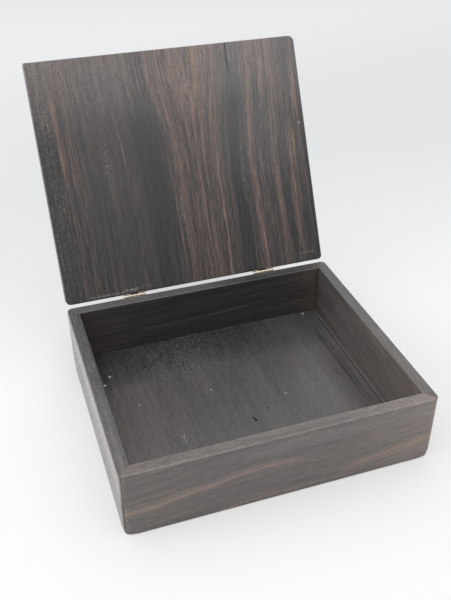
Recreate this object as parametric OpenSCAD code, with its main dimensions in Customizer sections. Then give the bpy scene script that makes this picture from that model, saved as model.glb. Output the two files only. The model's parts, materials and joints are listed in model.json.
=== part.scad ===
// Wooden keepsake box: a mitred case, a loose bottom panel and a flat lid on two small brass butt hinges.
// X runs left to right, Y front to back and Z up. The origin is the middle of the footprint, on the table.

/* [Case] */
// Outside width of the case
case_w = 250; // [180:1:400]
// Outside depth of the case
case_d = 212; // [120:1:340]
// Height of the walls
case_h = 61.5; // [40:0.5:140]
// Thickness of the wall boards
wall_t = 10; // [9:0.5:16]
// Radius of the upright outer corners
corner_r = 3.5; // [3.5:0.5:8]
// Radius of the eased edges of the rim
rim_edge_r = 0.8; // [0.4:0.1:1.5]
// Radius of the outer edge that stands on the table
foot_edge_r = 1.8; // [0.5:0.1:3.4]

/* [Bottom panel] */
// Thickness of the panel
panel_t = 6; // [3:0.5:10]
// Height of the groove's lower face above the table
groove_z = 7; // [4:0.5:20]
// Depth of the groove in each wall
groove_d = 5; // [3:0.5:6]
// Room for the panel to swell at each edge
swell_gap = 0.6; // [0.2:0.1:1.5]
// Clearance above the panel in its groove
groove_clear = 0.3; // [0.05:0.05:0.5]

/* [Lid] */
// Thickness of the lid board
lid_t = 10; // [9.5:0.5:16]
// Radius of the lid's corners seen from above
lid_corner_r = 4; // [3:0.5:10]
// Radius of the lid's eased edges
lid_edge_r = 1.2; // [0.4:0.1:2]
// How far the lid's ends and its front edge stand back from the case
lid_reveal = 0.7; // [0:0.1:2]
// Gap between the closed lid and the rim
lid_gap = 0.6; // [0.6:0.1:1.4]
// Angle at which the stops hold the open lid
lid_angle = 116.5; // [95:0.5:130]

/* [Hinges] */
// Distance from each end of the case to the middle of the hinge
hinge_inset = 62.5; // [30:0.5:80]
// Length of the hinge along the pin
hinge_l = 20.5; // [16:0.5:30]
// Length of the lid leaf's knuckle
middle_knuckle_l = 7; // [5:0.5:9]
// Width of each leaf's plate on the wood
leaf_w = 7; // [5.5:0.1:7.2]
// Thickness of the leaves
leaf_t = 0.8; // [0.7:0.1:1]
// Outer diameter of the barrel
barrel_d = 2.6; // [2.6:0.1:3.6]
// Radius of the corners at the tip of the stop tails
tail_corner_r = 1; // [0.4:0.1:1.5]
// Diameter of the pin
pin_d = 1.2; // [1:0.1:1.4]
// Distance from the pin to the tip of the stop tails
tail_reach = 4.2; // [3.8:0.1:5]

/* [Screws] */
// Diameter of the shank
screw_d = 1.8; // [1.2:0.1:2]
// Diameter of the countersunk head
screw_head_d = 3.2; // [2.6:0.1:3.4]
// Length of the screw with its head
screw_l = 6; // [4:0.5:7]
// Distance between the two screws of a leaf
screw_span = 11; // [7:0.5:12]
// Width of the driver slot
slot_w = 0.5; // [0.3:0.05:0.7]
// Depth of the driver slot
slot_depth = 0.4; // [0.2:0.05:0.5]

/* [Clearances] */
// Radial clearance of the pin in the knuckles
pin_clear = 0.04; // [0.02:0.01:0.08]
// Gap between neighbouring knuckles
knuckle_gap = 0.15; // [0.05:0.05:0.4]
// Gap from the barrel to the wood and to the stop tail
barrel_clear = 0.15; // [0.15:0.05:0.4]
// Gap between the two stop tails at rest
stop_clear = 0.03; // [0.01:0.01:0.1]
// Radial gap round a screw in its leaf and its pilot hole
screw_clear = 0.05; // [0.02:0.01:0.1]

/* [Hidden] */
$fn = 48;
cut = 1;
back_y = case_d / 2;
pin_y = back_y + barrel_d / 2 + barrel_clear;
pin_z = case_h + lid_gap / 2;
lid_z = case_h + lid_gap;
lid_w = case_w - 2 * lid_reveal;
lid_d = case_d - lid_reveal;
panel_w = case_w - 2 * (wall_t - groove_d + swell_gap);
panel_d = case_d - 2 * (wall_t - groove_d + swell_gap);
outer_knuckle_l = (hinge_l - middle_knuckle_l) / 2 - knuckle_gap;
outer_knuckle_x = (hinge_l - outer_knuckle_l) / 2;
pin_to_wood = pin_y - back_y;
head_h = (screw_head_d - screw_d) / 2;
point_l = screw_d;
pin_chamfer = pin_d / 8;
ebony = "#4a403a";
ebony_dark = "#362e2a";
brass = "#c9a55c";

// What is left of a square corner outside a quarter round, to be cut from a profile
module corner_cut(r) {
    difference() {
        translate([-cut, -cut]) square(r + cut);
        translate([r, r]) circle(r);
        translate([r, -2 * cut]) square(r + 2 * cut);
        translate([-2 * cut, r]) square(r + 2 * cut);
    }
}

// Section of a wall: x from the outer face inwards, y from the table up
module wall_section() {
    difference() {
        square([wall_t, case_h]);
        corner_cut(foot_edge_r);
        translate([0, case_h]) mirror([0, 1]) corner_cut(rim_edge_r);
        translate([wall_t, case_h]) rotate(180) corner_cut(rim_edge_r);
        translate([wall_t - groove_d, groove_z]) square([groove_d + cut, panel_t + groove_clear]);
    }
}

// The outermost strip of a section of the given width, with the outer face away from the turning axis
module outer_strip(w, h) {
    intersection() {
        translate([w, 0]) mirror([1, 0]) children();
        square([w, h]);
    }
}

// One mitred board: outer face on y = 0, inner face towards +y, with its half of each rounded corner.
// A strip along its inner side, clear of the rounded foot, runs on through both corners.
module wall_board(l) {
    half = l / 2;
    run = half - corner_r;
    inside = wall_t + cut;
    strip = corner_r - 0.6 * (corner_r - foot_edge_r);
    intersection() {
        union() {
            translate([-run, 0, 0]) rotate([90, 0, 90]) linear_extrude(2 * run) wall_section();
            translate([-half, 0, 0]) rotate([90, 0, 90]) linear_extrude(l) intersection() {
                wall_section();
                translate([strip, 0]) square([wall_t, case_h]);
            }
            for (end = [0, 1])
                mirror([end, 0, 0]) translate([run, corner_r, 0]) rotate([0, 0, -90])
                    rotate_extrude(angle = 90) outer_strip(corner_r, case_h) wall_section();
        }
        translate([0, 0, -cut]) linear_extrude(case_h + 2 * cut) polygon([
            [-half - cut, -cut], [half + cut, -cut], [half - inside, inside], [inside - half, inside]
        ]);
    }
}

// Section of the lid: x across the board from one edge, y through its thickness
module lid_section(l) {
    difference() {
        square([l, lid_t]);
        for (far = [0, 1], top = [0, 1])
            translate([far * l, top * lid_t]) mirror([far, 0]) mirror([0, top]) corner_cut(lid_edge_r);
    }
}

// The lid board lying shut, with rounded corners and eased edges
module closed_lid_board() {
    run = lid_w - 2 * lid_corner_r;
    side = lid_d - 2 * lid_corner_r;
    translate([0, lid_reveal / 2, lid_z]) {
        translate([-run / 2, -lid_d / 2, 0]) rotate([90, 0, 90]) linear_extrude(run) lid_section(lid_d);
        for (end = [0, 1]) mirror([end, 0, 0]) {
            translate([run / 2, side / 2, 0]) rotate([90, 0, 0]) linear_extrude(side)
                outer_strip(lid_corner_r, lid_t) lid_section(lid_w);
            for (far = [0, 1])
                mirror([0, far, 0]) translate([run / 2, side / 2, 0]) rotate_extrude(angle = 90)
                    outer_strip(lid_corner_r, lid_t) lid_section(lid_w);
        }
    }
}

// Puts a hinge drawn round its pin at the left (-1) or right (1) end of the back wall
module at_hinge(side) {
    translate([side * (case_w / 2 - hinge_inset), pin_y, pin_z]) children();
}

// Swings what is drawn shut about the pins, back onto the stops
module opened() {
    translate([0, pin_y, pin_z]) rotate([-lid_angle, 0, 0]) translate([0, -pin_y, -pin_z]) children();
}

// Turns what is drawn for the case over, for the lid
module lid_side() {
    mirror([0, 0, 1]) children();
}

// Places the two screws of a leaf, heads to the back and level with the plate
module at_screws() {
    for (end = [-1, 1])
        translate([end * screw_span / 2, leaf_t - pin_to_wood, -pin_to_wood - leaf_w / 2])
            rotate([-90, 0, 0]) children();
}

// Countersunk wood screw, head up, with a driver slot
module screw() {
    difference() {
        rotate_extrude() polygon([
            [0, 0], [screw_head_d / 2, 0], [screw_d / 2, -head_h],
            [screw_d / 2, point_l - screw_l], [0, -screw_l]
        ]);
        translate([-screw_head_d, -slot_w / 2, -slot_depth])
            cube([2 * screw_head_d, slot_w, slot_depth + cut]);
    }
}

// Countersunk hole for a screw in a leaf
module screw_hole() {
    bore_r = screw_d / 2 + screw_clear;
    translate([0, 0, -head_h]) cylinder(h = head_h + cut, r1 = bore_r, r2 = bore_r + head_h + cut);
    translate([0, 0, -leaf_t - cut]) cylinder(h = leaf_t + cut, r = bore_r);
}

// Pilot holes in the wood for the screws of a leaf
module pilot_holes() {
    at_screws() translate([0, 0, -screw_l - screw_clear])
        cylinder(h = screw_l, d = screw_d + 2 * screw_clear);
}

// Flat plate of a leaf, upright on the wood below the barrel
module leaf_plate() {
    translate([-hinge_l / 2, -pin_to_wood, -pin_to_wood - leaf_w]) cube([hinge_l, leaf_t, leaf_w]);
}

// Knuckle round the pin, with the neck that joins it to the plate
module knuckle(l) {
    rotate([0, 90, 0]) cylinder(h = l, d = barrel_d, center = true);
    translate([-l / 2, -pin_to_wood, -pin_to_wood]) cube([l, leaf_t, pin_to_wood]);
}

// Stop tail behind the barrel, from a given distance off the pin, with its tip's corners rounded
module stop_tail(l, from) {
    rotate([-lid_angle / 2, 0, 0]) translate([0, 0, -leaf_t - stop_clear / 2]) linear_extrude(leaf_t)
        difference() {
            translate([-l / 2, from]) square([l, tail_reach - from]);
            for (end = [0, 1])
                mirror([end, 0]) translate([l / 2, tail_reach]) rotate(180) corner_cut(tail_corner_r);
        }
}

// Clears the pin and the screws out of a leaf
module leaf_holes() {
    rotate([0, 90, 0]) cylinder(h = hinge_l + 2 * cut, d = pin_d + 2 * pin_clear, center = true);
    at_screws() screw_hole();
}

// Leaf on the back wall: two outer knuckles and a stop tail across the back of the barrel
module case_leaf() {
    difference() {
        union() {
            leaf_plate();
            for (end = [-1, 1])
                translate([end * outer_knuckle_x, 0, 0]) {
                    knuckle(outer_knuckle_l);
                    stop_tail(outer_knuckle_l, 0);
                }
            stop_tail(hinge_l, barrel_d / 2 + barrel_clear);
        }
        leaf_holes();
    }
}

// Leaf on the lid's back edge: the middle knuckle and the tail that comes to rest on the other
module lid_leaf() {
    lid_side() difference() {
        union() {
            leaf_plate();
            knuckle(middle_knuckle_l);
            stop_tail(middle_knuckle_l, 0);
        }
        leaf_holes();
    }
}

// Pin with eased ends
module hinge_pin() {
    rotate([0, 90, 0]) rotate_extrude() polygon([
        [0, -hinge_l / 2], [pin_d / 2 - pin_chamfer, -hinge_l / 2], [pin_d / 2, pin_chamfer - hinge_l / 2],
        [pin_d / 2, hinge_l / 2 - pin_chamfer], [pin_d / 2 - pin_chamfer, hinge_l / 2], [0, hinge_l / 2]
    ]);
}

module front_wall() {
    color(ebony) translate([0, -case_d / 2, 0]) wall_board(case_w);
}

module back_wall() {
    color(ebony_dark) difference() {
        translate([0, case_d / 2, 0]) rotate([0, 0, 180]) wall_board(case_w);
        for (side = [-1, 1]) at_hinge(side) pilot_holes();
    }
}

module left_wall() {
    color(ebony) translate([-case_w / 2, 0, 0]) rotate([0, 0, -90]) wall_board(case_d);
}

module right_wall() {
    color(ebony) translate([case_w / 2, 0, 0]) rotate([0, 0, 90]) wall_board(case_d);
}

// Lies on the lower faces of the grooves, with room to swell at its edges
module bottom_panel() {
    color(ebony) translate([-panel_w / 2, -panel_d / 2, groove_z]) cube([panel_w, panel_d, panel_t]);
}

module lid_board() {
    color(ebony_dark) opened() difference() {
        closed_lid_board();
        for (side = [-1, 1]) at_hinge(side) lid_side() pilot_holes();
    }
}

module left_hinge_case_leaf() {
    color(brass) at_hinge(-1) case_leaf();
}

module left_hinge_lid_leaf() {
    color(brass) opened() at_hinge(-1) lid_leaf();
}

module left_hinge_pin() {
    color(brass) at_hinge(-1) hinge_pin();
}

module left_hinge_case_screws() {
    color(brass) at_hinge(-1) at_screws() screw();
}

module left_hinge_lid_screws() {
    color(brass) opened() at_hinge(-1) lid_side() at_screws() screw();
}

module right_hinge_case_leaf() {
    color(brass) at_hinge(1) case_leaf();
}

module right_hinge_lid_leaf() {
    color(brass) opened() at_hinge(1) lid_leaf();
}

module right_hinge_pin() {
    color(brass) at_hinge(1) hinge_pin();
}

module right_hinge_case_screws() {
    color(brass) at_hinge(1) at_screws() screw();
}

module right_hinge_lid_screws() {
    color(brass) opened() at_hinge(1) lid_side() at_screws() screw();
}

front_wall();
back_wall();
left_wall();
right_wall();
bottom_panel();
lid_board();
left_hinge_case_leaf();
left_hinge_lid_leaf();
left_hinge_pin();
left_hinge_case_screws();
left_hinge_lid_screws();
right_hinge_case_leaf();
right_hinge_lid_leaf();
right_hinge_pin();
right_hinge_case_screws();
right_hinge_lid_screws();
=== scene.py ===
import json
import math

import bmesh
import bpy
from mathutils import Matrix, Vector


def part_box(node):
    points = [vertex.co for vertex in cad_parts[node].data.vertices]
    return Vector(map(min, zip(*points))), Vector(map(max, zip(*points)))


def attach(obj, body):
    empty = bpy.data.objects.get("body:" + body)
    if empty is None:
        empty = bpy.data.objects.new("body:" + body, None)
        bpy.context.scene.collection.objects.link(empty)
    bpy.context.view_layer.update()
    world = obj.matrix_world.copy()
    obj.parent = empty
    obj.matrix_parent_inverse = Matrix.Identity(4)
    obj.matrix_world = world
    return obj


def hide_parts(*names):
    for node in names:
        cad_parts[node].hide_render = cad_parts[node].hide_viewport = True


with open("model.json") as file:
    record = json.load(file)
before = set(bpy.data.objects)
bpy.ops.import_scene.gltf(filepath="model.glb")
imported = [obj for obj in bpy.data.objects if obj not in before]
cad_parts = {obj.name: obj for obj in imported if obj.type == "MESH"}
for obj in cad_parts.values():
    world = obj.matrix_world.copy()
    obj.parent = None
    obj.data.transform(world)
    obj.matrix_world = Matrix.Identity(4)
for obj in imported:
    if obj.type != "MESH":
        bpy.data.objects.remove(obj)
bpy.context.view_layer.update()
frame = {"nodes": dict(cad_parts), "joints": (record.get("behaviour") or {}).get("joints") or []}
mm = 0.001
print("frame loaded:", len(frame["nodes"]), "nodes")

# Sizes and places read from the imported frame
frontLow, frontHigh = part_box("front_wall")
panelLow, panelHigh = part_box("bottom_panel")
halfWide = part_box("right_wall")[1].x
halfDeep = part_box("back_wall")[1].y
rimHeight = frontHigh.z
wallThick = frontHigh.y - frontLow.y

# The lid rests open; shutTurn brings anything on it back to the closed place
lidHinge = frame["joints"][0]
pinPlace = Vector(lidHinge["pos_m"])
lidSwing = math.radians(lidHinge["range_deg"][1])
toPin = Matrix.Translation(pinPlace)
shutTurn = toPin @ Matrix.Rotation(lidSwing, 4, "X") @ toPin.inverted()
openTurn = shutTurn.inverted()


def turnedBox(node, turn):
    places = [turn @ corner.co for corner in frame["nodes"][node].data.vertices]
    low = Vector([min(place[axis] for place in places) for axis in range(3)])
    high = Vector([max(place[axis] for place in places) for axis in range(3)])
    return low, high


lidLow, lidHigh = turnedBox("lid_board", shutTurn)


# Shader maths: a Wire is one socket, and sums on it add Math nodes
class Wire:
    def __init__(self, tree, socket=None):
        self.tree = tree
        self.socket = socket

    def node(self, kind, setup=None, feed=None, give=0):
        made = self.tree.nodes.new(kind)
        for key, value in (setup or {}).items():
            if key == "stops":
                fillRamp(made.color_ramp, value)
            else:
                setattr(made, key, value)
        for key, value in (feed or {}).items():
            if isinstance(value, Wire):
                self.tree.links.new(value.socket, made.inputs[key])
            else:
                made.inputs[key].default_value = value
        return Wire(self.tree, made.outputs[give])

    def sum(self, operation, first, second=0.0):
        return self.node("ShaderNodeMath", {"operation": operation}, {0: first, 1: second})

    def __add__(self, other):
        return self.sum("ADD", self, other)

    def __radd__(self, other):
        return self.sum("ADD", other, self)

    def __sub__(self, other):
        return self.sum("SUBTRACT", self, other)

    def __rsub__(self, other):
        return self.sum("SUBTRACT", other, self)

    def __mul__(self, other):
        return self.sum("MULTIPLY", self, other)

    def __rmul__(self, other):
        return self.sum("MULTIPLY", other, self)

    def __truediv__(self, other):
        return self.sum("DIVIDE", self, other)

    def __rtruediv__(self, other):
        return self.sum("DIVIDE", other, self)

    def __abs__(self):
        return self.sum("ABSOLUTE", self)

    def top(self, other):
        return self.sum("MAXIMUM", self, other)

    def low(self, other):
        return self.sum("MINIMUM", self, other)

    # 0 at start and 1 at end, eased; start may be the larger
    def ease(self, start, end):
        return self.node("ShaderNodeMapRange", {"interpolation_type": "SMOOTHSTEP"},
                         {"Value": self, "From Min": start, "From Max": end})

    def blend(self, under, over, style="MIX"):
        return self.node("ShaderNodeMix", {"data_type": "RGBA", "blend_type": style},
                         {0: self, 6: under, 7: over}, give=2)


def fillRamp(ramp, stops):
    while len(ramp.elements) < len(stops):
        ramp.elements.new(0.5)
    for element, (place, colour) in zip(ramp.elements, stops):
        element.position = place
        element.color = colour


def opaque(red, green, blue):
    return (red, green, blue, 1.0)


def newMaterial(name):
    made = bpy.data.materials.new(name)
    made.use_nodes = True
    return made, made.node_tree.nodes["Principled BSDF"], Wire(made.node_tree)


def join(wire, shader, socket):
    wire.tree.links.new(wire.socket, shader.inputs[socket])


# Ebony, in millimetres: along the grain, across it on the broad face, and through the board
ebonyTones = {
    "black": opaque(0.018, 0.018, 0.019),
    "rose": opaque(0.310, 0.192, 0.160),
    "amber": opaque(0.410, 0.240, 0.145),
    "dust": opaque(0.400, 0.390, 0.378),
    "chip": opaque(0.720, 0.700, 0.670),
    # The haze is partly painted light: a pale veil laid over the wood where it catches more light
    "hazeAndGlare": opaque(0.235, 0.205, 0.195),
    # The sheen is a painted reflection: an even grey added to the colour
    "paintedSheen": opaque(0.100, 0.100, 0.100),
}
boardTones = {
    "lid": [(0.0, opaque(0.022, 0.022, 0.023)), (0.40, opaque(0.052, 0.048, 0.048)),
            (0.70, opaque(0.112, 0.078, 0.068)), (1.0, opaque(0.205, 0.132, 0.110))],
    "case": [(0.0, opaque(0.060, 0.059, 0.060)), (0.5, opaque(0.128, 0.113, 0.106)),
             (1.0, opaque(0.240, 0.182, 0.158))],
    "back": [(0.0, opaque(0.022, 0.022, 0.023)), (0.5, opaque(0.054, 0.049, 0.048)),
             (1.0, opaque(0.125, 0.094, 0.083))],
    "floor": [(0.0, opaque(0.026, 0.026, 0.027)), (0.5, opaque(0.080, 0.075, 0.075)),
              (1.0, opaque(0.155, 0.135, 0.127))],
}
# Noise in the wood, each a step from the board's seed; a board gives the bands' width and the lines' length
grainNoise = {
    "wander": {"wide": 45.0, "long": 120.0, "step": 3.1, "detail": 1.0, "rough": 0.5},
    "quiver": {"wide": 7.0, "long": 24.0, "step": 8.7, "detail": 1.0, "rough": 0.5},
    "bands": {"long": 320.0, "step": 0.0, "detail": 2.0, "rough": 0.55},
    "lines": {"wide": 1.4, "step": 1.7, "detail": 3.0, "rough": 0.65},
    "threads": {"wide": 0.6, "long": 16.0, "step": 5.3, "detail": 2.0, "rough": 0.6},
    "pores": {"wide": 0.4, "long": 5.0, "step": 9.9, "detail": 1.0, "rough": 0.5},
    "mottle": {"wide": 1.0, "long": 2.6, "step": 25.1, "detail": 2.0, "rough": 0.6},
    "sway": {"wide": 26.0, "long": 60.0, "step": 31.7, "detail": 2.0, "rough": 0.5},
    "strokes": {"wide": 1.2, "long": 4.0, "step": 14.2, "detail": 2.0, "rough": 0.6},
    "flecks": {"wide": 0.6, "long": 2.6, "step": 17.3, "detail": 1.0, "rough": 0.5},
    "rubs": {"wide": 1.2, "long": 0.9, "step": 12.6, "detail": 2.0, "rough": 0.5},
}
# How the layers of the grain add up
ebonyMix = {
    "spread": (0.27, 0.73),  # part of a noise that fills the range from 0 to 1
    "poreCut": (0.56, 0.68),
    "fleckCut": (0.52, 0.64),
    "rubCut": (0.42, 0.62),
    "faceDeep": (2.0, 1.0),  # how far from the broad face the marks on it end
    "streakFade": 0.4,  # most of a streak's length that one end may fade over
    "streakCore": 0.1,
    "edgeLines": 1.6,  # how far the grain frays the edges of streaks
    "edgeThreads": 0.8,
    "sway": 40.0,
    "slant": 0.7,
    "strokeLevel": 0.55,
    "veilFade": 40.0,
    "hazeAndGlareLeast": 0.25,
    "hazeAndGlareMottle": 0.3,
    "hazeAndGlareThreads": 0.3,
    "hazeAndGlareLines": 0.5,
    "streakLeast": 0.15,
    "streakFray": 1.3,
    "scuffFade": 2.0,
    "crackFade": 4.0,
    "crackRagged": 0.5,
    "poreRough": 0.12,
    "reliefLines": 0.3,
    "reliefThreads": 0.3,
    "reliefPores": 0.8,
    "reliefDeep": 0.12 * mm,
}


def fibre(wood, layer, **sizes):
    noise = {**grainNoise[layer], **sizes}
    shade = wood["line"]
    place = shade.node("ShaderNodeCombineXYZ", None, {
        "X": wood["line"] / noise["wide"],
        "Y": wood["along"] / noise["long"],
        "Z": wood["through"] / noise["wide"] + (wood["seed"] + noise["step"])})
    return shade.node("ShaderNodeTexNoise", None, {
        "Vector": place, "Scale": 1.0, "Detail": noise["detail"], "Roughness": noise["rough"]})


# The same, spread to fill the range from 0 to 1
def grained(wood, layer, **sizes):
    return fibre(wood, layer, **sizes).ease(*ebonyMix["spread"])


# One streak: where it lies, its half width, where it starts and ends along the grain, and its strength
def streakMask(wood, streak):
    at, wide, start, end, strength = streak
    fade = min(wood["fade"], (end - start) * ebonyMix["streakFade"])
    across = abs(wood["edge"] - at).ease(wide, wide * ebonyMix["streakCore"])
    lengthwise = wood["along"].ease(start - fade, start + fade) * wood["along"].ease(end + fade, end - fade)
    return across * lengthwise * strength


# A small round mark: where it lies across and along, its radius and its strength
def markMask(wood, mark):
    across, along, radius, strength = mark
    aside = wood["across"] - across
    ahead = wood["along"] - along
    return (aside * aside + ahead * ahead).ease(radius * radius, 0.0) * strength


def strongest(masks):
    total = masks[0]
    for mask in masks[1:]:
        total = total.top(mask)
    return total


def streakGroup(wood, streaks):
    return strongest([streakMask(wood, streak) for streak in streaks])


def markGroup(wood, marks):
    return strongest([markMask(wood, mark) for mark in marks])


# The grain rises along a board, or is drawn together on the lid, and wanders
def grainLine(wood, board):
    along = wood["along"]
    across = wood["across"]
    line = across
    for start, end, rise in board["flow"]:
        line = line - along.ease(start, end) * rise
    if "draw" in board:
        draw = board["draw"]
        reach = (across - draw["at"]) / draw["wide"]
        pull = reach / (1 + reach * reach) * draw["pull"] * along.ease(draw["end"], 0.0)
        line = line - pull * across.ease(*draw["left"]) * across.ease(*draw["right"])
    wander = fibre(wood, "wander")
    quiver = fibre(wood, "quiver")
    return line + (wander - 0.5) * board["wander"] + (quiver - 0.5) * board["quiver"]


# Places on a board, and the layers of its grain that several of the next steps use
def layBoard(shade, board):
    place = shade.node("ShaderNodeTexCoord", give="Object")
    place = shade.node("ShaderNodeMapping", None, {
        "Vector": place, "Location": -Vector(board["origin"]) / mm,
        "Rotation": (board["turn"], 0.0, 0.0), "Scale": (1 / mm,) * 3})
    parts = {axis: shade.node("ShaderNodeSeparateXYZ", None, {"Vector": place}, give=axis) for axis in "XYZ"}
    along, across, through = (parts[axis] for axis in board["axes"])
    wood = {"line": across, "across": across, "along": along, "through": through,
            "fade": board["fade"], "seed": board["seed"]}
    wood["line"] = grainLine(wood, board)
    lines = grained(wood, "lines", long=board["lineLong"])
    threads = grained(wood, "threads")
    frayed = wood["line"] + (lines - 0.5) * ebonyMix["edgeLines"] + (threads - 0.5) * ebonyMix["edgeThreads"]
    wood["edge"] = frayed
    wood["lines"] = lines
    wood["threads"] = threads
    wood["mottle"] = grained(wood, "mottle")
    wood["pores"] = fibre(wood, "pores").ease(*ebonyMix["poreCut"])
    wood["onFace"] = abs(through - board["face"]).ease(*ebonyMix["faceDeep"])
    return wood


# How light the wood is, as a place on the ramp of the board's tones
def grainHeat(wood, board):
    bands = grained(wood, "bands", wide=board["bandWide"])
    grain = (bands - 0.5) * board["bandGain"] + (wood["lines"] - 0.5) * board["lineGain"]
    grain = grain + (wood["threads"] - 0.5) * board["threadGain"]
    if "calmZones" in board:
        grain = grain * (1 - streakGroup(wood, board["calmZones"]))
    heat = grain + (wood["mottle"] - 0.5) * board["mottle"] + board["level"]
    if "darkZones" in board:
        heat = heat - streakGroup(wood, board["darkZones"])
    if "warmZones" in board:
        heat = heat + streakGroup(wood, board["warmZones"])
    swayed = wood["along"] + (fibre(wood, "sway") - 0.5) * ebonyMix["sway"]
    for start, end, change in board["fades"]:
        heat = heat + swayed.ease(start, end) * change
    for start, end, change in board["lifts"]:
        heat = heat + wood["across"].ease(start, end) * change
    return heat


# Coarse slanting strokes beside one edge of a board
def sawStrokes(wood, coarse):
    along = wood["along"]
    across = wood["across"]
    slant = ebonyMix["slant"]
    slanted = {**wood, "line": (across - along) * slant, "along": (across + along) * slant}
    strokes = grained(slanted, "strokes")
    return (strokes - ebonyMix["strokeLevel"]) * across.ease(*coarse["reach"])


# Wide patches of brown haze, partly painted glare that pales the wood where it catches more light, and of
# painted sheen, an even grey added in place of a reflection
def veiled(wood, board, tint):
    veil = {**wood, "edge": wood["across"], "fade": ebonyMix["veilFade"]}
    if "hazeAndGlareZones" in board:
        clouds = (ebonyMix["hazeAndGlareLeast"] + wood["mottle"] * ebonyMix["hazeAndGlareMottle"]
                  + wood["threads"] * ebonyMix["hazeAndGlareThreads"] + wood["lines"] * ebonyMix["hazeAndGlareLines"])
        # Painted glare: a pale veil laid over the grain
        hazeAndGlare = streakGroup(veil, board["hazeAndGlareZones"]) * clouds
        tint = hazeAndGlare.low(1.0).blend(tint, ebonyTones["hazeAndGlare"])
    if "paintedSheenZones" in board:
        # Painted sheen: grey added to the colour in place of a reflection
        paintedSheen = streakGroup(veil, board["paintedSheenZones"])
        tint = paintedSheen.blend(tint, ebonyTones["paintedSheen"], "ADD")
    return tint


# Rose and amber streaks that fray along the grain, with dark pores over them
def streaked(wood, board, tint):
    fray = wood["lines"] * 0.5 + wood["threads"] * 0.5
    for group, tone in (("roseStreaks", "rose"), ("amberStreaks", "amber")):
        if group in board:
            mask = streakGroup(wood, board[group]) * (ebonyMix["streakLeast"] + fray * ebonyMix["streakFray"])
            tint = mask.low(1.0).blend(tint, ebonyTones[tone])
    return (wood["pores"] * board["poreDepth"]).blend(tint, ebonyTones["black"])


# Dust, scuffs, chips and knots on the broad face, and cracks. Cracks are painted black, painted shade inside
# them, and on the panel the black knots lie over the carved knot holes, painted shade inside them
def marked(wood, board, tint):
    onFace = wood["onFace"]
    if "fleckZones" in board:
        flecks = fibre(wood, "flecks").ease(*ebonyMix["fleckCut"]) * streakGroup(wood, board["fleckZones"])
        tint = (flecks * onFace).blend(tint, ebonyTones["dust"])
    if "scuffs" in board:
        crossed = {**wood, "edge": wood["along"], "along": wood["across"], "fade": ebonyMix["scuffFade"]}
        rubs = fibre(wood, "rubs").ease(*ebonyMix["rubCut"])
        tint = (streakGroup(crossed, board["scuffs"]) * rubs * onFace).blend(tint, ebonyTones["dust"])
    for group, tone in (("specks", "chip"), ("knots", "black")):
        if group in board:
            tint = (markGroup(wood, board[group]) * onFace).blend(tint, ebonyTones[tone])
    # Painted shade: cracks are painted black for the shade inside them
    if "cracks" in board:
        ragged = wood["across"] + (wood["threads"] - 0.5) * ebonyMix["crackRagged"]
        split = streakGroup({**wood, "edge": ragged, "fade": ebonyMix["crackFade"]}, board["cracks"])
        tint = split.blend(tint, ebonyTones["black"])
    return tint


# Glue line at the mitres, dark on the upright corners and pale on the rim, and paler edges of the rim: rubbed
# wear with a painted highlight along their rounding
def seamed(wood, seam, tint):
    along = wood["along"]
    depth = abs(wood["through"])
    fromNear = abs(along - depth)
    fromFar = abs(seam["length"] - along - depth)
    ends = fromNear.ease(seam["nearWide"], seam["core"]).top(fromFar.ease(seam["wide"], seam["core"]))
    onRim = wood["across"].ease(*(seam["rim"] - below for below in seam["rimFade"]))
    worn = ends * (1 - onRim)
    tint = (worn * seam["dark"]).blend(tint, ebonyTones["black"])
    pale = fromNear.ease(*seam["paleWide"]) * onRim * seam["pale"]
    tint = pale.blend(tint, ebonyTones["rose"])
    middleDeep = seam["thick"] / 2
    # Painted highlight, with rubbed wear: the rim's edges are paler along their rounding
    rimEdge = abs(depth - middleDeep).ease(*(middleDeep - inward for inward in seam["rubWide"])) * onRim
    rubbed = rimEdge * (seam["rubLeast"] + wood["threads"] * (1 - seam["rubLeast"])) * seam["rubbed"]
    return rubbed.blend(tint, ebonyTones["dust"]), worn


# One curved scratch, part of a circle
def scratched(wood, arc, tint):
    aside = wood["across"] - arc["across"]
    ahead = wood["along"] - arc["along"]
    ring = abs((aside * aside + ahead * ahead) / (2 * arc["radius"]) - arc["radius"] / 2)
    mark = ring.ease(arc["wide"], 0.0) * abs(aside).ease(*arc["reach"]) * arc["strength"]
    return (mark * ahead.ease(0.0, -1.0) * wood["onFace"]).blend(tint, ebonyTones["dust"])


def ebonyWood(name, board):
    made, shader, shade = newMaterial(name)
    wood = layBoard(shade, board)
    lines = wood["lines"]
    threads = wood["threads"]
    pores = wood["pores"]
    heat = grainHeat(wood, board)
    rough = board["rough"] + (lines + threads - 1) * board["dullness"] + pores * ebonyMix["poreRough"]
    relief = lines * ebonyMix["reliefLines"] + threads * ebonyMix["reliefThreads"]
    relief = relief - pores * ebonyMix["reliefPores"]
    if "coarse" in board:
        sawn = sawStrokes(wood, board["coarse"])
        heat = heat + sawn * board["coarse"]["gain"]
        relief = relief + sawn * board["coarse"]["relief"]
    tint = shade.node("ShaderNodeValToRGB", {"stops": boardTones[board["tones"]]}, {"Fac": heat})
    tint = veiled(wood, board, tint)
    tint = streaked(wood, board, tint)
    tint = marked(wood, board, tint)
    if "seam" in board:
        tint, worn = seamed(wood, board["seam"], tint)
        rough = rough + worn * board["seam"]["dull"]
    if "scratch" in board:
        tint = scratched(wood, board["scratch"], tint)
    join(tint, shader, "Base Color")
    join(rough, shader, "Roughness")
    bump = shade.node("ShaderNodeBump", None, {
        "Height": relief, "Strength": board["relief"], "Distance": ebonyMix["reliefDeep"]})
    join(bump, shader, "Normal")
    shader.inputs["Specular IOR Level"].default_value = board["shine"]
    return made


# Modelling by hand: pick in edit mode, then run the operator
meshFinish = {"mergeGap": 1e-6, "smoothAngle": math.radians(35), "faceWeight": 100}
steepTilt = 0.5  # a face whose normal rises less than this is upright


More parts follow.
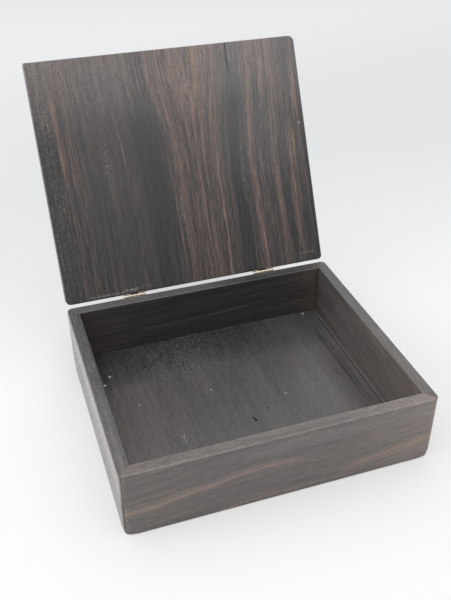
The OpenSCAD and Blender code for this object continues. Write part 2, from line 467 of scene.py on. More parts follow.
def clearPick():
    if bpy.context.object and bpy.context.object.mode != "OBJECT":
        bpy.ops.object.mode_set(mode="OBJECT")
    bpy.ops.object.select_all(action="DESELECT")


def grab(piece):
    clearPick()
    piece.select_set(True)
    bpy.context.view_layer.objects.active = piece


def newBlock(name, low, high):
    clearPick()
    bpy.ops.mesh.primitive_cube_add(size=1, location=(low + high) / 2)
    block = bpy.context.object
    block.name = name
    block.data.name = name
    block.scale = high - low
    bpy.ops.object.transform_apply(location=True, rotation=True, scale=True)
    return block


def pick(piece, kind, test):
    if piece.mode != "EDIT":
        grab(piece)
        bpy.ops.object.mode_set(mode="EDIT")
    bpy.ops.mesh.select_mode(type=kind)
    bpy.ops.mesh.select_all(action="DESELECT")
    shape = bmesh.from_edit_mesh(piece.data)
    for part in {"EDGE": shape.edges, "FACE": shape.faces}[kind]:
        part.select_set(bool(test(part)))
    bmesh.update_edit_mesh(piece.data)


def middle(edge):
    return (edge.verts[0].co + edge.verts[1].co) / 2


def near(value, target, slack=1e-5):
    return abs(value - target) < slack


def roundEdges(piece, test, radius, segments):
    pick(piece, "EDGE", test)
    bpy.ops.mesh.bevel(offset=radius, segments=segments, profile=0.5, affect="EDGES")


def settle(piece):
    grab(piece)
    bpy.ops.object.mode_set(mode="EDIT")
    bpy.ops.mesh.select_all(action="SELECT")
    bpy.ops.mesh.remove_doubles(threshold=meshFinish["mergeGap"])
    bpy.ops.mesh.normals_make_consistent(inside=False)
    bpy.ops.object.mode_set(mode="OBJECT")
    bpy.ops.object.shade_smooth_by_angle(angle=meshFinish["smoothAngle"])
    bpy.ops.object.modifier_add(type="WEIGHTED_NORMAL")
    piece.modifiers[-1].keep_sharp = True
    piece.modifiers[-1].weight = meshFinish["faceWeight"]
    bpy.ops.object.modifier_apply(modifier=piece.modifiers[-1].name)


def carve(piece, cutters):
    for cutter in cutters:
        grab(piece)
        bpy.ops.object.modifier_add(type="BOOLEAN")
        cut = piece.modifiers[-1]
        cut.operation = "DIFFERENCE"
        cut.solver = "EXACT"
        cut.object = cutter
        bpy.ops.object.modifier_apply(modifier=cut.name)
        bpy.data.objects.remove(cutter)


# A rounded hollow, as a ball squeezed to its half sizes
def carveHollow(piece, spot, reach):
    low = spot - reach
    high = spot + reach
    clearPick()
    bpy.ops.mesh.primitive_uv_sphere_add(segments=20, ring_count=12, radius=0.5, location=(low + high) / 2)
    pebble = bpy.context.object
    pebble.scale = high - low
    bpy.ops.object.transform_apply(location=True, rotation=True, scale=True)
    carve(piece, [pebble])


# Pilot holes for the two screws of a leaf, from just past their tips to beyond the wood
screwHole = {"headRound": 1.6 * mm, "round": 0.95 * mm, "sides": 32, "clear": 0.05 * mm, "beyond": 2.0 * mm}


def pilotHoles(node, turn):
    low, high = turnedBox(node, turn)
    start = low.y - screwHole["clear"]
    end = high.y + screwHole["beyond"]
    holes = []
    for across in (low.x + screwHole["headRound"], high.x - screwHole["headRound"]):
        clearPick()
        bpy.ops.mesh.primitive_cylinder_add(vertices=screwHole["sides"], radius=screwHole["round"],
                                            depth=end - start,
                                            location=(across, (start + end) / 2, (low.z + high.z) / 2),
                                            rotation=(math.radians(90), 0, 0))
        bpy.ops.object.transform_apply(location=True, rotation=True, scale=True)
        holes.append(bpy.context.object)
    return holes


def finishPiece(piece, body, node, material):
    piece.data.materials.clear()
    piece.data.materials.append(material)
    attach(piece, body)
    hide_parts(node)


# Case: one ring, sawn apart at the mitres into its four walls
caseShape = {
    "cornerRound": 4.6 * mm,
    "cornerSteps": 8,
    "footRound": 1.3 * mm,
    "footSteps": 6,
    "rimRound": 0.8 * mm,
    "rimSteps": 3,
    "swellGap": 0.6 * mm,
    "grooveClear": 0.3 * mm,
    "mitreSeam": 0.05 * mm,
    "mitreEase": 0.15 * mm,
    "wornFrom": 11.0 * mm,
    "wornReach": 7.0 * mm,
    "wornIn": 0.7 * mm,
    "wornUp": 0.2 * mm,
}
insideX = halfWide - wallThick
insideY = halfDeep - wallThick
arcX = halfWide - caseShape["cornerRound"]
arcY = halfDeep - caseShape["cornerRound"]


def inGroove(face):
    place = face.calc_center_median()
    return (abs(face.normal.z) < steepTilt and panelLow.z < place.z < panelHigh.z + caseShape["grooveClear"]
            and abs(place.x) < insideX + mm / 10 and abs(place.y) < insideY + mm / 10)


def isCorner(edge):
    return near(abs(middle(edge).x), halfWide) and near(abs(middle(edge).y), halfDeep)


def isFoot(edge):
    place = middle(edge)
    tilts = [face.normal.z for face in edge.link_faces]
    outer = abs(place.x) > halfWide - wallThick / 2 or abs(place.y) > halfDeep - wallThick / 2
    return (outer and all(near(end.co.z, 0) for end in edge.verts) and len(tilts) == 2
            and min(tilts) < -0.9 and max(tilts) > -steepTilt)


def isRim(edge):
    return (all(near(end.co.z, rimHeight) for end in edge.verts)
            and min(face.normal.z for face in edge.link_faces) < steepTilt)


def onFoot(face, handX, handY):
    place = face.calc_center_median()
    aside = place.x * handX - arcX
    ahead = place.y * handY - arcY
    return place.z < caseShape["footRound"] and aside > 0 and ahead > 0 and near(aside, ahead, mm)


# The feet of the corners are worn away, between cuts that keep the straight edges as they are
def wearFeet(ring):
    cutX = halfWide - caseShape["wornFrom"]
    cutY = halfDeep - caseShape["wornFrom"]
    for hand in (-1, 1):
        for start, along in (((hand * cutX, 0, 0), (1, 0, 0)), ((0, hand * cutY, 0), (0, 1, 0))):
            bpy.ops.mesh.select_all(action="SELECT")
            bpy.ops.mesh.bisect(plane_co=start, plane_no=along, threshold=meshFinish["mergeGap"])
    for handX in (-1, 1):
        for handY in (-1, 1):
            pick(ring, "FACE", lambda face: onFoot(face, handX, handY))
            bpy.ops.transform.translate(
                value=(-handX * caseShape["wornIn"], -handY * caseShape["wornIn"], caseShape["wornUp"]),
                use_proportional_edit=True, proportional_edit_falloff="SMOOTH",
                proportional_size=caseShape["wornReach"])


def caseRing():
    clearPick()
    bpy.ops.mesh.primitive_plane_add(size=1, location=(0, 0, 0))
    ring = bpy.context.object
    ring.name = "caseRing"
    ring.scale = (2 * halfWide, 2 * halfDeep, 1)
    bpy.ops.object.transform_apply(location=True, rotation=True, scale=True)
    bpy.ops.object.mode_set(mode="EDIT")
    bpy.ops.mesh.select_mode(type="FACE")
    bpy.ops.mesh.inset(thickness=wallThick, depth=0)
    bpy.ops.mesh.delete(type="FACE")
    bpy.ops.mesh.select_all(action="SELECT")
    below = 0.0
    for level in (panelLow.z, panelHigh.z + caseShape["grooveClear"], rimHeight):
        bpy.ops.mesh.extrude_region_move(TRANSFORM_OT_translate={"value": (0, 0, level - below)})
        below = level
    # Groove for the panel, round the inside
    pick(ring, "FACE", inGroove)
    bpy.ops.mesh.extrude_region_move()
    grooveDeep = wallThick - (panelLow.x + halfWide) + caseShape["swellGap"]
    wider = ((insideX + grooveDeep) / insideX, (insideY + grooveDeep) / insideY, 1)
    bpy.ops.transform.resize(value=wider, center_override=(0, 0, 0))
    bpy.ops.mesh.select_all(action="SELECT")
    bpy.ops.mesh.normals_make_consistent(inside=False)
    roundEdges(ring, isCorner, caseShape["cornerRound"], caseShape["cornerSteps"])
    roundEdges(ring, isFoot, caseShape["footRound"], caseShape["footSteps"])
    roundEdges(ring, isRim, caseShape["rimRound"], caseShape["rimSteps"])
    wearFeet(ring)
    bpy.ops.object.mode_set(mode="OBJECT")
    return ring


# Each wall keeps the side of two mitre planes that its outer face lies on
def sawWall(ring, name, outward):
    grab(ring)
    bpy.ops.object.duplicate()
    wall = bpy.context.object
    wall.name = name
    wall.data.name = name
    sideways = Vector((-outward.y, outward.x, 0))
    bpy.ops.object.mode_set(mode="EDIT")
    mitres = []
    for hand in (-1, 1):
        toCorner = outward + hand * sideways
        corner = Vector((halfWide * toCorner.x, halfDeep * toCorner.y, 0))
        kept = (outward - hand * sideways).normalized()
        mitres.append(kept)
        bpy.ops.mesh.select_all(action="SELECT")
        bpy.ops.mesh.bisect(plane_co=corner + kept * caseShape["mitreSeam"] / 2, plane_no=kept,
                            use_fill=True, clear_inner=True, threshold=meshFinish["mergeGap"])
    # The sharp edges of each mitre are eased where they show
    easeFrom = rimHeight - caseShape["rimRound"] * 1.5

    def shows(edge):
        place = middle(edge)
        facing = [max(face.normal.dot(-kept) for kept in mitres) for face in edge.link_faces]
        onMitre = len(facing) == 2 and max(facing) > 0.99 and min(facing) < 0.9
        atCorner = abs(place.x) > arcX and abs(place.y) > arcY
        return onMitre and place.z > mm and (place.z > easeFrom or atCorner)

    roundEdges(wall, shows, caseShape["mitreEase"], 1)
    bpy.ops.object.mode_set(mode="OBJECT")
    return wall


wallSides = {
    "front": Vector((0, -1, 0)),
    "back": Vector((0, 1, 0)),
    "left": Vector((-1, 0, 0)),
    "right": Vector((1, 0, 0)),
}
ring = caseRing()
walls = {side: sawWall(ring, side + "Wall", outward) for side, outward in wallSides.items()}
bpy.data.objects.remove(ring)
print("case walls sawn:", len(walls))

# Grain that a board has unless it gives its own
plainGrain = {
    "turn": 0.0, "face": 0.0, "flow": [], "fades": [], "lifts": [], "wander": 4.0, "quiver": 1.6,
    "bandWide": 5.0, "lineLong": 60.0, "bandGain": 0.22, "lineGain": 0.34, "threadGain": 0.28, "mottle": 0.18,
    "fade": 22.0, "poreDepth": 0.4, "rough": 0.28, "shine": 0.6, "relief": 0.4, "dullness": 0.08,
}
caseSeam = {
    "rim": rimHeight / mm, "thick": wallThick / mm, "rimFade": (1.0, 0.4),
    "wide": 0.35, "nearWide": 0.35, "core": 0.05, "dark": 0.6, "dull": 0.35,
    "pale": 0.0, "paleWide": (0.8, 0.1), "rubbed": 0.06, "rubWide": (1.3, 0.4), "rubLeast": 0.3,
}
wallBoards = {
    "front": {
        **plainGrain, "axes": "XZY", "origin": (-halfWide, -halfDeep, 0), "seed": 1.3, "tones": "case",
        "wander": 3.0, "bandGain": 0.20, "lineGain": 0.38, "level": 0.43, "poreDepth": 0.35, "rough": 0.26,
        "flow": [(-5, 115, 13.5), (165, 240, 9)],
        # Painted shade: the foot is darker, next to the floor
        "lifts": [(60.0, 61.2, 0.07), (45, 10, 0.08), (8, 1, -0.18)],
        "fades": [(150, 240, 0.22), (60, 10, 0.05), (222, 246, 0.10)],
        "hazeAndGlareZones": [(30, 70, 215, 310, 0.28)],
        # Painted sheen along the upper face, towards the right
        "paintedSheenZones": [(52, 10, 90, 400, 0.35)],
        # The front rim's edges carry the strongest painted highlight
        "seam": {**caseSeam, "length": 2 * halfWide / mm, "pale": 0.7, "nearWide": 1.0, "rubbed": 0.45},
        "warmZones": [(23.5, 6.0, -30, 130, 0.26), (-0.8, 7, 160, 280, 0.26), (-8, 4, 75, 170, 0.22)],
        "roseStreaks": [(22.0, 2.8, -30, 130, 0.60), (-0.8, 3.8, 175, 280, 0.55), (-8, 2.0, 75, 130, 0.40),
                        (46, 1.2, 200, 280, 0.25), (28, 2.0, -30, 50, 0.30), (17, 1.2, 90, 160, 0.25)],
        "amberStreaks": [(21.8, 1.0, 5, 60, 0.30), (-0.6, 1.8, 208, 252, 0.5)],
    },
    "back": {
        **plainGrain, "axes": "XZY", "origin": (-halfWide, halfDeep, 0), "seed": 4.8, "tones": "back",
        "wander": 5.0, "bandWide": 6.0, "lineLong": 70.0, "threadGain": 0.26, "mottle": 0.16, "level": 0.24,
        "flow": [(40, 210, 6)],
        "lifts": [(60.2, 61.2, -0.12)],
        "fades": [(90, 20, 0.32), (180, 235, 0.36), (220, 241, 0.42)],
        "seam": {**caseSeam, "length": 2 * halfWide / mm},
        # Painted sheen on the rim, a painted reflection, strongest on its left part
        "paintedSheenZones": [(62, 1.5, -80, 150, 0.85), (62, 1.5, 100, 330, 0.14)],
        "roseStreaks": [(30, 1.4, 60, 180, 0.22), (48, 0.8, 120, 230, 0.15)],
    },
    "left": {
        **plainGrain, "axes": "YZX", "origin": (-halfWide, -halfDeep, 0), "seed": 7.2, "tones": "case",
        "quiver": 2.0, "bandGain": 0.26, "lineGain": 0.60, "threadGain": 0.45, "mottle": 0.22, "level": 0.42,
        "rough": 0.22, "shine": 0.7, "relief": 1.0, "dullness": 0.30,
        "flow": [(20, 190, -5)],
        # Painted light and shade: the upper face is lighter and the lower face darker, as the face catches
        # light
        "lifts": [(60.2, 61.2, -0.52), (25, 58, 0.20), (30, 4, -0.35)],
        "fades": [(60, 190, -0.06), (80, 20, 0.04)],
        "seam": {**caseSeam, "length": 2 * halfDeep / mm, "pale": 0.4, "nearWide": 3.2},
        # Painted sheen: glare over the upper face, and a little on the rim
        "paintedSheenZones": [(47, 15, -80, 180, 1.0), (62, 1.5, 120, 300, 0.15)],
        "roseStreaks": [(40, 1.6, 20, 160, 0.3), (18, 1.0, 60, 200, 0.25)],
    },
    "right": {
        **plainGrain, "axes": "YZX", "origin": (halfWide, -halfDeep, 0), "seed": 11.6, "tones": "case",
        "level": 0.38, "poreDepth": 0.35, "rough": 0.26,
        "flow": [(20, 190, 7)],
        "lifts": [(60.2, 61.2, -0.20)],
        # Painted light and shade: the inside is lighter towards the front end and darker towards the back
        "fades": [(150, 20, 0.16), (130, 205, -0.20)],
        "seam": {**caseSeam, "length": 2 * halfDeep / mm},
        "roseStreaks": [(26, 1.6, 10, 120, 0.16), (44, 0.9, 90, 210, 0.12)],
    },
}
# Torn grain on the back rim, as places along it and in from the back with half sizes in millimetres,
# and a dent on the inside of the left rim
rimWear = {
    "pits": [(218.5, 3.0, 1.3, 0.5), (222.5, 5.5, 1.8, 0.6), (226.5, 3.5, 2.0, 0.5), (230.5, 5.0, 1.5, 0.6),
             (233.5, 3.0, 1.2, 0.5)],
    "pitDeep": 0.45 * mm,
    "dentAlong": 75 * mm,
    "dentReach": (0.8 * mm, 2.4 * mm, 0.5 * mm),
}
for along, inward, long, wide in rimWear["pits"]:
    spot = Vector((-halfWide + along * mm, halfDeep - inward * mm, rimHeight))
    carveHollow(walls["back"], spot, Vector((long * mm, wide * mm, rimWear["pitDeep"])))
dent = Vector((-halfWide + wallThick, -halfDeep + rimWear["dentAlong"], rimHeight))
carveHollow(walls["left"], dent, Vector(rimWear["dentReach"]))
for hand in ("left", "right"):
    carve(walls["back"], pilotHoles(hand + "_hinge_case_screws", Matrix.Identity(4)))
for side, wall in walls.items():
    settle(wall)
    finishPiece(wall, "case", side + "_wall", ebonyWood(side + "Ebony", wallBoards[side]))
print("case walls finished")

# Bottom panel, loose in the grooves
panelShape = {
    "edgeEase": 0.4 * mm,
    "edgeSteps": 2,
    "knotDeep": 2.6 * mm,
    "knots": [(126.9, 74.6, 0.9, 1.2), (128.0, 71.8, 1.4, 1.5), (143.0, 82.5, 0.6, 0.8)],
}
panelBoard = {
    **plainGrain, "axes": "YXZ", "origin": (-halfWide, -halfDeep, 0), "seed": 15.4, "tones": "floor",
    "face": panelHigh.z / mm, "bandWide": 7.0, "bandGain": 0.12, "lineGain": 0.09, "threadGain": 0.12,
    "mottle": 0.36, "level": 0.44, "fade": 12.0,
    # Painted shade: darker towards the back, under the back wall and the open lid
    "fades": [(135, 180, -0.28)],
    "warmZones": [(100, 9, 110, 160, 0.10), (70, 8, 135, 165, 0.10), (150, 10, 90, 150, 0.06),
                  (231, 1.6, 60, 170, 0.4), (30, 70, -20, 150, 0.26), (225, 60, -20, 150, 0.16)],
    "darkZones": [(225.5, 2.4, 70, 165, 0.40), (229.5, 1.2, 60, 150, 0.35), (236.6, 1.0, 40, 190, 0.35),
                  (20.5, 3, 135, 215, 0.12), (173.5, 0.8, 125, 145, 0.2), (208, 1.2, 90, 160, 0.15)],
    "amberStreaks": [(190, 0.7, 133, 147, 0.5)],
    "roseStreaks": [(190, 0.6, 75, 150, 0.15), (238.6, 0.9, 15, 205, 0.30)],
    "hazeAndGlareZones": [(238.7, 1.4, 5, 215, 0.75), (234.4, 1.1, 45, 190, 0.55)],
    # Painted sheen towards the back right
    "paintedSheenZones": [(225, 75, 150, 300, 0.35)],
    "fleckZones": [(65.7, 0.7, 58, 79, 1.0), (80, 85, 140, 205, 0.20)],
    "scuffs": [(200.6, 0.6, 95, 215, 0.4)],
    "specks": [(25, 166, 1.5, 1.0), (18.5, 155.5, 1.6, 0.9), (104.5, 120.5, 1.2, 0.45), (164, 95, 1.2, 0.5),
               (41, 121, 1.1, 0.5), (225, 199, 1.6, 0.9)],
    # Black painted over the carved knot holes, painted shade inside them
    "knots": [(126.9, 74.6, 1.4, 1.0), (128.0, 71.8, 1.8, 1.0), (143.0, 82.5, 1.0, 0.8)],
}
panel = newBlock("bottomPanel", panelLow, panelHigh)
roundEdges(panel, lambda edge: True, panelShape["edgeEase"], panelShape["edgeSteps"])
bpy.ops.object.mode_set(mode="OBJECT")
# A small knot hole in two lobes, and a pit beyond it
for across, along, wide, long in panelShape["knots"]:
    spot = Vector((-halfWide + across * mm, -halfDeep + along * mm, panelHigh.z))
    carveHollow(panel, spot, Vector((wide * mm, long * mm, panelShape["knotDeep"])))
settle(panel)
finishPiece(panel, "case", "bottom_panel", ebonyWood("panelEbony", panelBoard))
print("bottom panel finished")

# Lid, modelled shut and then laid open; its cracks start and end at places from its front left corner
lidShape = {
    "cornerRound": {(-1, -1): 1.35 * mm, (1, -1): 5.5 * mm, (-1, 1): 4.5 * mm, (1, 1): 3.8 * mm},
    "cornerSteps": 8,
    "edgeRound": 1.2 * mm,
    "edgeSteps": 4,
    "cracks": [((181.0, -1.0), (180.3, 27.0), 0.6), ((180.3, 212.5), (179.6, 190.0), 0.45)],
    "crackDeep": 1.6 * mm,
    "crackBelow": 1.0 * mm,
    "crackTip": 0.15,
    "crackRunOut": 0.8,
}
lidBoard = {
    **plainGrain, "axes": "YXZ", "origin": lidLow - (pinPlace - Matrix.Rotation(lidSwing, 3, "X") @ pinPlace),
    "turn": lidSwing, "seed": 21.7, "tones": "lid",
    "draw": {"at": 138.0, "wide": 35.0, "pull": 20.0, "end": 120.0,
             "left": (15.0, 60.0), "right": (246.0, 205.0)},
    "wander": 1.8, "quiver": 1.8, "bandWide": 3.2, "lineLong": 70.0, "bandGain": 0.20, "lineGain": 0.70,
    "threadGain": 0.44, "mottle": 0.22, "level": 0.38, "fade": 16.0, "poreDepth": 0.5,
    "coarse": {"reach": (20.0, 10.0), "gain": 0.95, "relief": 3.0},
    # Painted light: the grain is lighter towards the lid's top, where it catches more light
    "fades": [(70, -10, 0.12)],
    "calmZones": [(97, 22, 45, 270, 0.70), (60, 48, -60, 270, 0.55), (176, 11, 15, 270, 0.45),
                  (190, 110, 165, 300, 0.25)],
    # Cracks painted black, painted shade in the splits
    "cracks": [(180.7, 0.8, -10, 27, 0.9), (180.0, 0.7, 188, 240, 0.8), (174.5, 0.6, 198, 240, 0.7)],
    "knots": [(176, 209.5, 3.0, 0.8), (171, 210, 2.0, 0.7), (70, 210.5, 3.0, 0.6), (77, 211, 2.5, 0.5)],
    "warmZones": [(118, 10, -20, 65, 0.32), (123, 8, 45, 250, 0.30), (143.5, 7, -20, 250, 0.30),
                  (157.5, 4.5, -20, 250, 0.34), (191.5, 6, -20, 250, 0.32), (206, 5, -20, 60, 0.30),
                  (214.5, 5, -20, 250, 0.28), (231, 5.5, 80, 165, 0.28), (218, 24, -60, 85, 0.13),
                  (241, 3.5, 20, 70, 0.28), (30, 6, 25, 120, 0.14), (46, 5, -20, 250, 0.08),
                  (56, 5, -20, 200, 0.08), (20, 6, -20, 250, 0.12), (138, 34, -60, 270, 0.33),
                  (68, 4, -20, 120, 0.10)],
    # Painted light: a pale veil over the lid's top and left, where the open lid catches more light
    "hazeAndGlareZones": [(50, 80, -80, 38, 0.66), (190, 90, -80, 36, 0.38), (6, 40, -80, 40, 0.60),
                  (218, 40, 30, 120, 0.16)],
    # Painted sheen on the lid's top, more on its right
    "paintedSheenZones": [(215, 220, -80, 58, 0.65), (190, 70, 0, 105, 0.40), (16, 24, -80, 4, 0.7)],
    "darkZones": [(97, 19, 45, 250, 0.22), (176, 11, 15, 250, 0.26), (151, 3, 55, 250, 0.2),
                  (134, 3, 95, 200, 0.2), (138, 34, 105, 270, 0.15), (52, 16, 95, 190, 0.10),
                  (204, 3, 55, 100, 0.2), (223, 6, 55, 200, 0.22), (246, 4, 50, 250, 0.25),
                  (8, 12, 60, 250, 0.28)],
    "roseStreaks": [(74.5, 0.9, -20, 105, 0.40), (26, 0.7, 10, 110, 0.40), (114.5, 1.3, -20, 14, 0.55),
                    (118, 0.7, 5, 90, 0.35), (122.5, 0.7, 40, 200, 0.35), (129, 1.0, 150, 182, 0.5),
                    (140, 1.2, 60, 195, 0.42), (146, 1.4, 55, 195, 0.42), (157.2, 1.2, 55, 250, 0.85),
                    (154.5, 1.6, -20, 70, 0.55), (194, 0.8, 104, 250, 0.85), (190.5, 1.8, -20, 100, 0.45),
                    (190, 0.9, 140, 175, 0.4), (201, 0.8, 95, 155, 0.40), (214, 0.8, 122, 145, 0.7),
                    (215, 0.9, 20, 70, 0.4), (230, 1.2, 165, 190, 0.4), (241, 1.3, 25, 65, 0.4),
                    (132, 0.8, 35, 60, 0.4)],
    "amberStreaks": [(18.5, 1.3, 32, 105, 0.42), (20.5, 1.0, -20, 30, 0.25), (143.4, 1.6, -10, 50, 0.50),
                     (146.5, 1.0, 60, 95, 0.4), (187, 1.1, 8, 45, 0.4), (203, 1.0, 26, 44, 0.5),
                     (234.5, 2.0, 82, 112, 0.7)],
    "fleckZones": [(59, 4, 72, 125, 0.38), (118.8, 1.6, 125, 170, 0.8), (181, 3, 92, 142, 0.35),
                   (8, 8, 10, 205, 0.10), (200.5, 1.6, 101, 114, 0.5)],
    "scuffs": [(207.5, 2.0, 54, 66, 0.9), (208.5, 1.2, 22, 54, 0.6), (206.5, 1.0, 68, 80, 0.4)],
    "specks": [(249, 138, 1.2, 0.8), (243, 80, 1.2, 0.4)],
    "scratch": {"across": 235.0, "along": 221.0, "radius": 19.0, "wide": 0.45, "reach": (9.0, 5.4),
                "strength": 0.6},
}


def isUpright(edge):
    return abs((edge.verts[0].co - edge.verts[1].co).normalized().z) > 0.9


def isLidEdge(edge):
    tilts = [abs(face.normal.z) for face in edge.link_faces]
    return near(edge.verts[0].co.z, edge.verts[1].co.z) and min(tilts) < steepTilt < max(tilts)


def onLid(place):
    return lidLow + Vector((place[0] * mm, place[1] * mm, 0))


# A thin wedge that narrows and runs out at its far end
def newSliver(start, end, wide):
    deep = lidShape["crackDeep"]
    sliver = newBlock("sliver", Vector((start.x - wide / 2, start.y, start.z - lidShape["crackBelow"])),
                      Vector((start.x + wide / 2, end.y, start.z + deep)))
    pick(sliver, "FACE", lambda face: near(face.calc_center_median().y, end.y, 1e-6))
    bpy.ops.transform.resize(value=(lidShape["crackTip"], 1, 1))
    bpy.ops.transform.translate(value=(end.x - start.x, 0, -deep * lidShape["crackRunOut"]))
    bpy.ops.object.mode_set(mode="OBJECT")
    return sliver


lid = newBlock("lidBoard", lidLow, lidHigh)
lidMid = (lidLow + lidHigh) / 2
for (handX, handY), radius in lidShape["cornerRound"].items():
    cornerX = lidMid.x + handX * (lidHigh.x - lidMid.x)
    cornerY = lidMid.y + handY * (lidHigh.y - lidMid.y)
    roundEdges(lid, lambda edge: isUpright(edge) and near(cornerX, middle(edge).x)
               and near(cornerY, middle(edge).y), radius, lidShape["cornerSteps"])
roundEdges(lid, isLidEdge, lidShape["edgeRound"], lidShape["edgeSteps"])
bpy.ops.object.mode_set(mode="OBJECT")
for start, end, wide in lidShape["cracks"]:
    carve(lid, [newSliver(onLid(start), onLid(end), wide * mm)])
for hand in ("left", "right"):
    carve(lid, pilotHoles(hand + "_hinge_lid_screws", shutTurn))
settle(lid)
lid.matrix_world = openTurn
bpy.ops.object.transform_apply(location=True, rotation=True, scale=True)
finishPiece(lid, "lid", "lid_board", ebonyWood("lidEbony", lidBoard))
print("lid finished")

# Hinges and screws keep their imported shapes; above the pins the brass is painted dark, a painted shade for
# the shadow between the barrels and the lid
brassFinish = {
    "pale": opaque(0.94, 0.86, 0.71),
    "dull": opaque(0.42, 0.34, 0.22),
    "dark": opaque(0.030, 0.026, 0.020),
    "rough": 0.22,
    "stainScale": 900.0,
    "stainDetail": 4.0,
    "stainCut": (0.50, 0.80),
    "stainRough": 0.15,
    "paintedPinShade": (1.05 * mm, 1.22 * mm),
    "paintedPinShadeRough": 0.2,
}


def agedBrass(name, finish):
    made, shader, shade = newMaterial(name)
    place = shade.node("ShaderNodeTexCoord", give="Object")
    noise = shade.node("ShaderNodeTexNoise", None, {
        "Vector": place, "Scale": finish["stainScale"], "Detail": finish["stainDetail"]})
    stain = noise.ease(*finish["stainCut"])
    height = shade.node("ShaderNodeSeparateXYZ", None, {"Vector": place}, give="Z")
    # Painted shade: the brass above the pins darkens
    paintedPinShade = height.ease(*(pinPlace.z + edge for edge in finish["paintedPinShade"]))
    tint = paintedPinShade.blend(stain.blend(finish["pale"], finish["dull"]), finish["dark"])
    join(tint, shader, "Base Color")
    join(finish["rough"] + stain * finish["stainRough"] + paintedPinShade * finish["paintedPinShadeRough"], shader, "Roughness")
    shader.inputs["Metallic"].default_value = 1.0
    return made


hingeBrass = agedBrass("hingeBrass", brassFinish)
for name, node in frame["nodes"].items():
    if "hinge" in name:
        node.data.materials.clear()
        node.data.materials.append(hingeBrass)
print("hinges finished")

# Pale floor that greys towards the back, in metres; the grey is painted shade, for the shadow behind the box
# and a backdrop's falling light
floorFinish = {
    "size": 60.0,
    "drop": 0.05 * mm,
    "tone": opaque(0.85, 0.85, 0.85),
    "near": opaque(0.99, 0.99, 0.99),
    "far": opaque(0.56, 0.60, 0.635),
    "rough": 0.9,
    "shine": 0.1,
    "glowShare": 0.42,
    "reach": (1.6, 2.1),
    "greyRise": (0.0, 0.5),
    "greyFall": (1.2, 0.6),
    "greyLeft": 0.50,
    "underLid": {"place": (0.02, 0.13), "reach": (0.20, 0.13), "depth": 0.85},
}
# A wide soft light overhead and a smaller one at the left
lightSetup = {
    "overheadLight": {"place": (0, 0, 1.3), "aim": (0, 0, 0), "size": 5.0, "radiance": 1.12},
    "leftLight": {"place": (-2.2, 0, 0.95), "aim": (0, 0, 0.95), "size": 1.8, "radiance": 2.8},
}
# White surround, pale near the horizon and dim above; its pale part is lower in front, as the lid mirrors it
surroundFinish = {"dim": 0.10, "pale": 0.99, "rise": (0.24, 0.12), "behind": (-0.5, 0.0), "higher": 0.22}


# Seen straight, in a reflection or through glass
def seenBy(shade):
    rays = [shade.node("ShaderNodeLightPath", give=kind)
            for kind in ("Is Camera Ray", "Is Glossy Ray", "Is Transmission Ray")]
    return rays[0].top(rays[1]).top(rays[2])


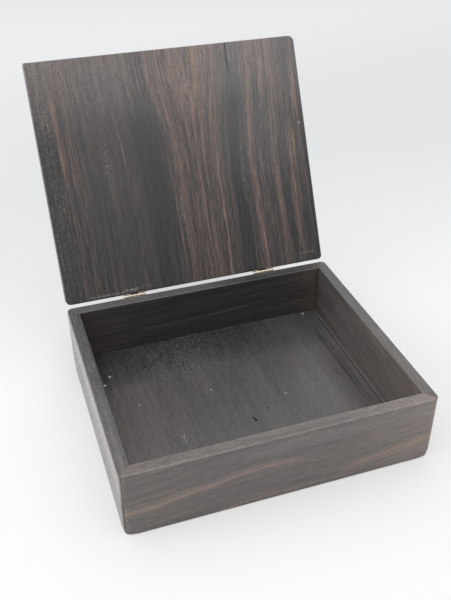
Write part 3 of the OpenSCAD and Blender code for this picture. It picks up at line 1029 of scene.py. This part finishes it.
def paleFloor():
    clearPick()
    bpy.ops.mesh.primitive_plane_add(size=floorFinish["size"], location=(0, 0, -floorFinish["drop"]))
    floor = bpy.context.object
    floor.name = "studioFloor"
    made, shader, shade = newMaterial("paleFloor")
    shader.inputs["Base Color"].default_value = floorFinish["tone"]
    shader.inputs["Roughness"].default_value = floorFinish["rough"]
    shader.inputs["Specular IOR Level"].default_value = floorFinish["shine"]
    place = shade.node("ShaderNodeTexCoord", give="Object")
    back = shade.node("ShaderNodeSeparateXYZ", None, {"Vector": place}, give="Y")
    aside = shade.node("ShaderNodeSeparateXYZ", None, {"Vector": place}, give="X")
    start, end = floorFinish["reach"]
    distant = (back * back + aside * aside).ease(start * start, end * end)
    # Painted shade: grey behind the box, carried by the glow that the camera sees
    held = floorFinish["greyLeft"] + back.ease(*floorFinish["greyFall"]) * (1 - floorFinish["greyLeft"])
    paintedFloorShade = back.ease(*floorFinish["greyRise"]) * held * (1 - distant)
    # Shade under the open lid, which shows through the gap at the hinges
    under = floorFinish["underLid"]
    fromMid = [(way - mid) / reach for way, mid, reach in zip((aside, back), under["place"], under["reach"])]
    shaded = (fromMid[0] * fromMid[0] + fromMid[1] * fromMid[1]).ease(1.0, 0.0) * under["depth"]
    paintedFloorShade = paintedFloorShade.top(shaded)
    share = floorFinish["glowShare"] + distant * (1 - floorFinish["glowShare"])
    glow = shade.node("ShaderNodeEmission", None, {
        "Color": paintedFloorShade.blend(floorFinish["near"], floorFinish["far"])})
    mixed = shade.node("ShaderNodeMixShader", None, {
        0: seenBy(shade) * share, 1: Wire(made.node_tree, shader.outputs[0]), 2: glow})
    join(mixed, made.node_tree.nodes["Material Output"], "Surface")
    floor.data.materials.append(made)


def softLights():
    for name, setup in lightSetup.items():
        bpy.ops.object.light_add(type="AREA", location=setup["place"])
        softLight = bpy.context.object
        softLight.name = name
        softLight.data.size = setup["size"]
        softLight.data.energy = setup["radiance"] * math.pi * setup["size"] ** 2
        towards = Vector(setup["aim"]) - Vector(setup["place"])
        softLight.rotation_euler = towards.to_track_quat("-Z", "Y").to_euler()


def paleSurround():
    world = bpy.data.worlds.new("paleSurround")
    world.use_nodes = True
    surround = world.node_tree.nodes["Background"]
    surround.inputs["Color"].default_value = opaque(1.0, 1.0, 1.0)
    shade = Wire(world.node_tree)
    outward = shade.node("ShaderNodeTexCoord", give="Generated")
    back = shade.node("ShaderNodeSeparateXYZ", None, {"Vector": outward}, give="Y")
    rise = shade.node("ShaderNodeSeparateXYZ", None, {"Vector": outward}, give="Z")
    rise = rise - back.ease(*surroundFinish["behind"]) * surroundFinish["higher"]
    pale = rise.ease(*surroundFinish["rise"]) * seenBy(shade)
    strength = surroundFinish["dim"] + pale * (surroundFinish["pale"] - surroundFinish["dim"])
    join(strength, surround, "Strength")
    bpy.context.scene.world = world


paleFloor()
softLights()
paleSurround()

# Camera at the photograph's place; the lens is for the long side of the picture
cameraSetup = {
    "place": (-0.17623, -0.48507, 0.46472),
    "right": (0.94633, -0.32318, -0.00337),
    "ahead": (0.26496, 0.78172, -0.56455),
    "lens": 47.504,
    "sensor": 36.0,
    "clipNear": 0.01,
}
right = Vector(cameraSetup["right"]).normalized()
ahead = Vector(cameraSetup["ahead"]).normalized()
above = right.cross(ahead)
bpy.ops.object.camera_add(location=cameraSetup["place"])
camera = bpy.context.object
camera.name = "photoCamera"
camera.rotation_euler = Matrix((right, above, -ahead)).transposed().to_euler()
camera.data.lens = cameraSetup["lens"]
camera.data.sensor_width = cameraSetup["sensor"]
camera.data.clip_start = cameraSetup["clipNear"]
bpy.context.scene.camera = camera
bpy.context.scene.view_settings.view_transform = "Standard"
print("studio and camera set")
